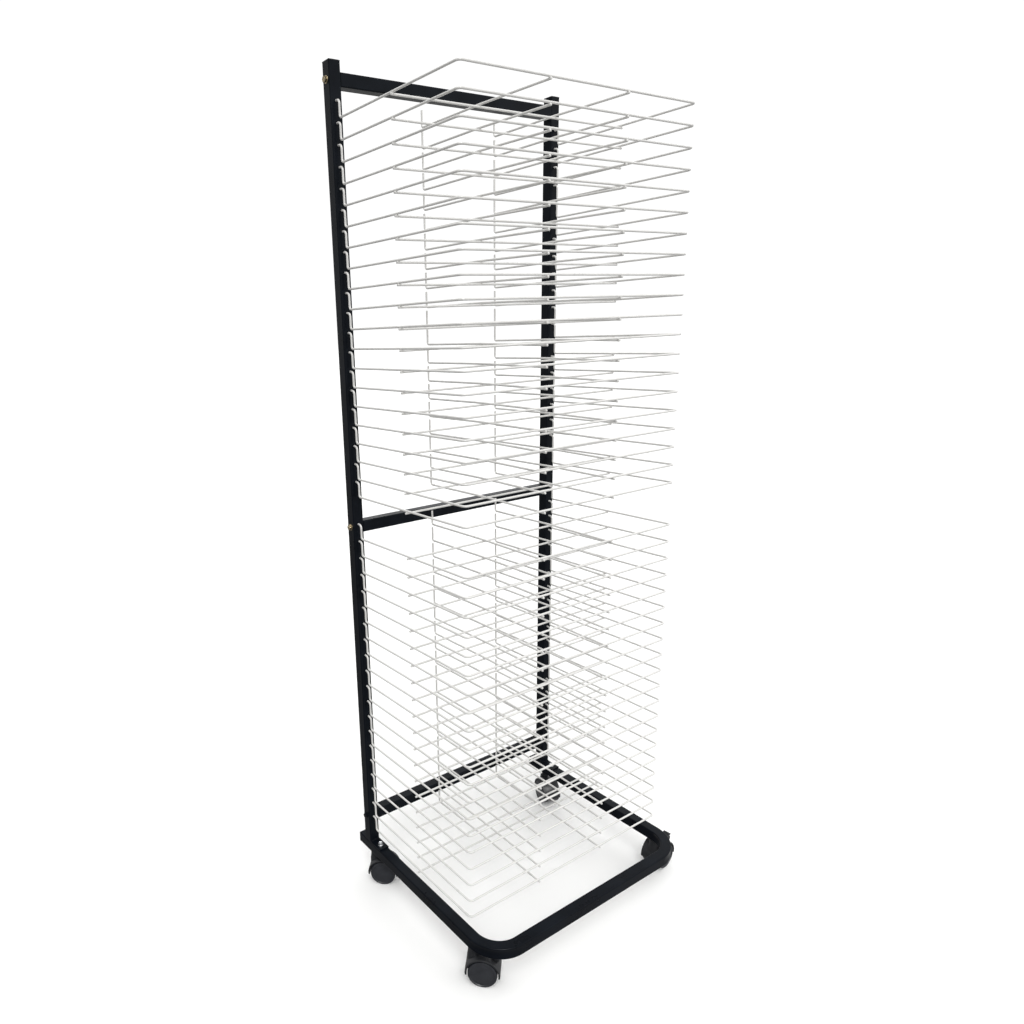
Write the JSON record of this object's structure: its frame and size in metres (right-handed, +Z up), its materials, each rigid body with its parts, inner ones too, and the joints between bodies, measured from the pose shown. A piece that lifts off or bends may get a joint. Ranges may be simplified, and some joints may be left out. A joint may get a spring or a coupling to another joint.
{
  "type": "art drying rack",
  "caption": "Mobile drying rack: white wire shelves hooked one above another on a black square-tube frame with a U-shaped base on twin-wheel casters.",
  "frame": {"origin": "on the floor, midway between the two uprights and midway between the front and the rear of the base", "axes": "+Z up, +X to the rack's right as seen from its open front, -Y towards the open front that sheets go in from"},
  "size_m": [0.6572, 0.495, 1.778],
  "materials": {
    "black_frame_coat": "satin black powder coat on steel tube",
    "white_wire_coat": "glossy white coat on steel wire",
    "zinc_bolts": "bright zinc plating",
    "steel_stems": "zinc-plated steel",
    "plug_plastic": "matt black plastic",
    "caster_nylon": "satin black nylon",
    "wheel_nylon": "satin black nylon",
    "lever_nylon": "satin black nylon"
  },
  "bodies": {
    "frame": {"base_tube": "black_frame_coat", "left_upright": "black_frame_coat", "right_upright": "black_frame_coat", "top_rail": "black_frame_coat", "middle_rail": "black_frame_coat", "bottom_rail": "black_frame_coat", "rail_bolts": "zinc_bolts", "foot_bolts": "zinc_bolts", "tube_plugs": "plug_plastic", "caster_stems": "steel_stems"},
    "front_left_caster": {"front_left_hood": "caster_nylon"},
    "front_right_caster": {"front_right_hood": "caster_nylon"},
    "rear_left_caster": {"rear_left_hood": "caster_nylon"},
    "rear_right_caster": {"rear_right_hood": "caster_nylon"},
    "front_left_wheel_pair": {"front_left_wheels": "wheel_nylon"},
    "front_right_wheel_pair": {"front_right_wheels": "wheel_nylon"},
    "rear_left_wheel_pair": {"rear_left_wheels": "wheel_nylon"},
    "rear_right_wheel_pair": {"rear_right_wheels": "wheel_nylon"},
    "front_left_brake": {"front_left_brake_lever": "lever_nylon"},
    "front_right_brake": {"front_right_brake_lever": "lever_nylon"},
    "shelf_01": {"shelf_01": "white_wire_coat"},
    "shelf_02": {"shelf_02": "white_wire_coat"},
    "shelf_03": {"shelf_03": "white_wire_coat"},
    "shelf_04": {"shelf_04": "white_wire_coat"},
    "shelf_05": {"shelf_05": "white_wire_coat"},
    "shelf_06": {"shelf_06": "white_wire_coat"},
    "shelf_07": {"shelf_07": "white_wire_coat"},
    "shelf_08": {"shelf_08": "white_wire_coat"},
    "shelf_09": {"shelf_09": "white_wire_coat"},
    "shelf_10": {"shelf_10": "white_wire_coat"},
    "shelf_11": {"shelf_11": "white_wire_coat"},
    "shelf_12": {"shelf_12": "white_wire_coat"},
    "shelf_13": {"shelf_13": "white_wire_coat"},
    "shelf_14": {"shelf_14": "white_wire_coat"},
    "shelf_15": {"shelf_15": "white_wire_coat"},
    "shelf_16": {"shelf_16": "white_wire_coat"},
    "shelf_17": {"shelf_17": "white_wire_coat"},
    "shelf_18": {"shelf_18": "white_wire_coat"},
    "shelf_19": {"shelf_19": "white_wire_coat"},
    "shelf_20": {"shelf_20": "white_wire_coat"},
    "shelf_21": {"shelf_21": "white_wire_coat"},
    "shelf_22": {"shelf_22": "white_wire_coat"},
    "shelf_23": {"shelf_23": "white_wire_coat"},
    "shelf_24": {"shelf_24": "white_wire_coat"},
    "shelf_25": {"shelf_25": "white_wire_coat"},
    "shelf_26": {"shelf_26": "white_wire_coat"},
    "shelf_27": {"shelf_27": "white_wire_coat"},
    "shelf_28": {"shelf_28": "white_wire_coat"},
    "shelf_29": {"shelf_29": "white_wire_coat"},
    "shelf_30": {"shelf_30": "white_wire_coat"},
    "shelf_31": {"shelf_31": "white_wire_coat"},
    "shelf_32": {"shelf_32": "white_wire_coat"},
    "shelf_33": {"shelf_33": "white_wire_coat"},
    "shelf_34": {"shelf_34": "white_wire_coat"},
    "shelf_35": {"shelf_35": "white_wire_coat"},
    "shelf_36": {"shelf_36": "white_wire_coat"},
    "shelf_37": {"shelf_37": "white_wire_coat"},
    "shelf_38": {"shelf_38": "white_wire_coat"},
    "shelf_39": {"shelf_39": "white_wire_coat"},
    "shelf_40": {"shelf_40": "white_wire_coat"}
  },
  "joints": [
    {"name": "front_left_swivel", "type": "hinge", "parent": "frame", "child": "front_left_caster", "pos_m": [-0.2835, -0.17, 0.06], "axis": [0, 0, 1], "continuous": true},
    {"name": "front_right_swivel", "type": "hinge", "parent": "frame", "child": "front_right_caster", "pos_m": [0.2835, -0.17, 0.06], "axis": [0, 0, 1], "continuous": true},
    {"name": "rear_left_swivel", "type": "hinge", "parent": "frame", "child": "rear_left_caster", "pos_m": [-0.2835, 0.1975, 0.06], "axis": [0, 0, 1], "continuous": true},
    {"name": "rear_right_swivel", "type": "hinge", "parent": "frame", "child": "rear_right_caster", "pos_m": [0.2835, 0.1975, 0.06], "axis": [0, 0, 1], "continuous": true},
    {"name": "front_left_roll", "type": "hinge", "parent": "front_left_caster", "child": "front_left_wheel_pair", "pos_m": [-0.26891, -0.18511, 0.03], "axis": [0.7193, 0.6947, 0], "continuous": true},
    {"name": "front_right_roll", "type": "hinge", "parent": "front_right_caster", "child": "front_right_wheel_pair", "pos_m": [0.30439, -0.16781, 0.03], "axis": [-0.1045, 0.9945, 0], "continuous": true},
    {"name": "rear_left_roll", "type": "hinge", "parent": "rear_left_caster", "child": "rear_left_wheel_pair", "pos_m": [-0.26839, 0.18291, 0.03], "axis": [0.6947, 0.7193, 0], "continuous": true},
    {"name": "rear_right_roll", "type": "hinge", "parent": "rear_right_caster", "child": "rear_right_wheel_pair", "pos_m": [0.27563, 0.17803, 0.03], "axis": [0.9272, -0.3746, 0], "continuous": true},
    {"name": "front_left_brake_press", "type": "hinge", "parent": "front_left_caster", "child": "front_left_brake", "pos_m": [-0.25061, -0.20406, 0.06141], "axis": [0.7193, 0.6947, 0], "range_deg": [0, 25]},
    {"name": "front_right_brake_press", "type": "hinge", "parent": "front_right_caster", "child": "front_right_brake", "pos_m": [0.3306, -0.16505, 0.06141], "axis": [-0.1045, 0.9945, 0], "range_deg": [0, 25]},
    {"name": "shelf_01_lift", "type": "hinge", "parent": "frame", "child": "shelf_01", "pos_m": [0, 0.1961, 1.709], "axis": [-1, 0, 0], "range_deg": [0, 25]},
    {"name": "shelf_21_lift", "type": "hinge", "parent": "frame", "child": "shelf_21", "pos_m": [0, 0.1961, 0.895], "axis": [-1, 0, 0], "range_deg": [0, 13]},
    {"name": "shelf_02_lift", "type": "hinge", "parent": "frame", "child": "shelf_02", "pos_m": [0, 0.1961, 1.671], "axis": [-1, 0, 0], "range_deg": [0, 4.6]},
    {"name": "shelf_03_lift", "type": "hinge", "parent": "frame", "child": "shelf_03", "pos_m": [0, 0.1961, 1.633], "axis": [-1, 0, 0], "range_deg": [0, 4.6]},
    {"name": "shelf_04_lift", "type": "hinge", "parent": "frame", "child": "shelf_04", "pos_m": [0, 0.1961, 1.595], "axis": [-1, 0, 0], "range_deg": [0, 4.6]},
    {"name": "shelf_05_lift", "type": "hinge", "parent": "frame", "child": "shelf_05", "pos_m": [0, 0.1961, 1.557], "axis": [-1, 0, 0], "range_deg": [0, 4.6]},
    {"name": "shelf_06_lift", "type": "hinge", "parent": "frame", "child": "shelf_06", "pos_m": [0, 0.1961, 1.519], "axis": [-1, 0, 0], "range_deg": [0, 4.6]},
    {"name": "shelf_07_lift", "type": "hinge", "parent": "frame", "child": "shelf_07", "pos_m": [0, 0.1961, 1.481], "axis": [-1, 0, 0], "range_deg": [0, 4.6]},
    {"name": "shelf_08_lift", "type": "hinge", "parent": "frame", "child": "shelf_08", "pos_m": [0, 0.1961, 1.443], "axis": [-1, 0, 0], "range_deg": [0, 4.6]},
    {"name": "shelf_09_lift", "type": "hinge", "parent": "frame", "child": "shelf_09", "pos_m": [0, 0.1961, 1.405], "axis": [-1, 0, 0], "range_deg": [0, 4.6]},
    {"name": "shelf_10_lift", "type": "hinge", "parent": "frame", "child": "shelf_10", "pos_m": [0, 0.1961, 1.367], "axis": [-1, 0, 0], "range_deg": [0, 4.6]},
    {"name": "shelf_11_lift", "type": "hinge", "parent": "frame", "child": "shelf_11", "pos_m": [0, 0.1961, 1.329], "axis": [-1, 0, 0], "range_deg": [0, 4.6]},
    {"name": "shelf_12_lift", "type": "hinge", "parent": "frame", "child": "shelf_12", "pos_m": [0, 0.1961, 1.291], "axis": [-1, 0, 0], "range_deg": [0, 4.6]},
    {"name": "shelf_13_lift", "type": "hinge", "parent": "frame", "child": "shelf_13", "pos_m": [0, 0.1961, 1.253], "axis": [-1, 0, 0], "range_deg": [0, 4.6]},
    {"name": "shelf_14_lift", "type": "hinge", "parent": "frame", "child": "shelf_14", "pos_m": [0, 0.1961, 1.215], "axis": [-1, 0, 0], "range_deg": [0, 4.6]},
    {"name": "shelf_15_lift", "type": "hinge", "parent": "frame", "child": "shelf_15", "pos_m": [0, 0.1961, 1.177], "axis": [-1, 0, 0], "range_deg": [0, 4.6]},
    {"name": "shelf_16_lift", "type": "hinge", "parent": "frame", "child": "shelf_16", "pos_m": [0, 0.1961, 1.139], "axis": [-1, 0, 0], "range_deg": [0, 4.6]},
    {"name": "shelf_17_lift", "type": "hinge", "parent": "frame", "child": "shelf_17", "pos_m": [0, 0.1961, 1.101], "axis": [-1, 0, 0], "range_deg": [0, 4.6]},
    {"name": "shelf_18_lift", "type": "hinge", "parent": "frame", "child": "shelf_18", "pos_m": [0, 0.1961, 1.063], "axis": [-1, 0, 0], "range_deg": [0, 4.6]},
    {"name": "shelf_19_lift", "type": "hinge", "parent": "frame", "child": "shelf_19", "pos_m": [0, 0.1961, 1.025], "axis": [-1, 0, 0], "range_deg": [0, 4.6]},
    {"name": "shelf_20_lift", "type": "hinge", "parent": "frame", "child": "shelf_20", "pos_m": [0, 0.1961, 0.987], "axis": [-1, 0, 0], "range_deg": [0, 4.6]},
    {"name": "shelf_22_lift", "type": "hinge", "parent": "frame", "child": "shelf_22", "pos_m": [0, 0.1961, 0.857], "axis": [-1, 0, 0], "range_deg": [0, 4.6]},
    {"name": "shelf_23_lift", "type": "hinge", "parent": "frame", "child": "shelf_23", "pos_m": [0, 0.1961, 0.819], "axis": [-1, 0, 0], "range_deg": [0, 4.6]},
    {"name": "shelf_24_lift", "type": "hinge", "parent": "frame", "child": "shelf_24", "pos_m": [0, 0.1961, 0.781], "axis": [-1, 0, 0], "range_deg": [0, 4.6]},
    {"name": "shelf_25_lift", "type": "hinge", "parent": "frame", "child": "shelf_25", "pos_m": [0, 0.1961, 0.743], "axis": [-1, 0, 0], "range_deg": [0, 4.6]},
    {"name": "shelf_26_lift", "type": "hinge", "parent": "frame", "child": "shelf_26", "pos_m": [0, 0.1961, 0.705], "axis": [-1, 0, 0], "range_deg": [0, 4.6]},
    {"name": "shelf_27_lift", "type": "hinge", "parent": "frame", "child": "shelf_27", "pos_m": [0, 0.1961, 0.667], "axis": [-1, 0, 0], "range_deg": [0, 4.6]},
    {"name": "shelf_28_lift", "type": "hinge", "parent": "frame", "child": "shelf_28", "pos_m": [0, 0.1961, 0.629], "axis": [-1, 0, 0], "range_deg": [0, 4.6]},
    {"name": "shelf_29_lift", "type": "hinge", "parent": "frame", "child": "shelf_29", "pos_m": [0, 0.1961, 0.591], "axis": [-1, 0, 0], "range_deg": [0, 4.6]},
    {"name": "shelf_30_lift", "type": "hinge", "parent": "frame", "child": "shelf_30", "pos_m": [0, 0.1961, 0.553], "axis": [-1, 0, 0], "range_deg": [0, 4.6]},
    {"name": "shelf_31_lift", "type": "hinge", "parent": "frame", "child": "shelf_31", "pos_m": [0, 0.1961, 0.515], "axis": [-1, 0, 0], "range_deg": [0, 4.6]},
    {"name": "shelf_32_lift", "type": "hinge", "parent": "frame", "child": "shelf_32", "pos_m": [0, 0.1961, 0.477], "axis": [-1, 0, 0], "range_deg": [0, 4.6]},
    {"name": "shelf_33_lift", "type": "hinge", "parent": "frame", "child": "shelf_33", "pos_m": [0, 0.1961, 0.439], "axis": [-1, 0, 0], "range_deg": [0, 4.6]},
    {"name": "shelf_34_lift", "type": "hinge", "parent": "frame", "child": "shelf_34", "pos_m": [0, 0.1961, 0.401], "axis": [-1, 0, 0], "range_deg": [0, 4.6]},
    {"name": "shelf_35_lift", "type": "hinge", "parent": "frame", "child": "shelf_35", "pos_m": [0, 0.1961, 0.363], "axis": [-1, 0, 0], "range_deg": [0, 4.6]},
    {"name": "shelf_36_lift", "type": "hinge", "parent": "frame", "child": "shelf_36", "pos_m": [0, 0.1961, 0.325], "axis": [-1, 0, 0], "range_deg": [0, 4.6]},
    {"name": "shelf_37_lift", "type": "hinge", "parent": "frame", "child": "shelf_37", "pos_m": [0, 0.1961, 0.287], "axis": [-1, 0, 0], "range_deg": [0, 4.6]},
    {"name": "shelf_38_lift", "type": "hinge", "parent": "frame", "child": "shelf_38", "pos_m": [0, 0.1961, 0.249], "axis": [-1, 0, 0], "range_deg": [0, 4.6]},
    {"name": "shelf_39_lift", "type": "hinge", "parent": "frame", "child": "shelf_39", "pos_m": [0, 0.1961, 0.211], "axis": [-1, 0, 0], "range_deg": [0, 4.6]},
    {"name": "shelf_40_lift", "type": "hinge", "parent": "frame", "child": "shelf_40", "pos_m": [0, 0.1961, 0.173], "axis": [-1, 0, 0], "range_deg": [0, 4.6]}
  ]
}
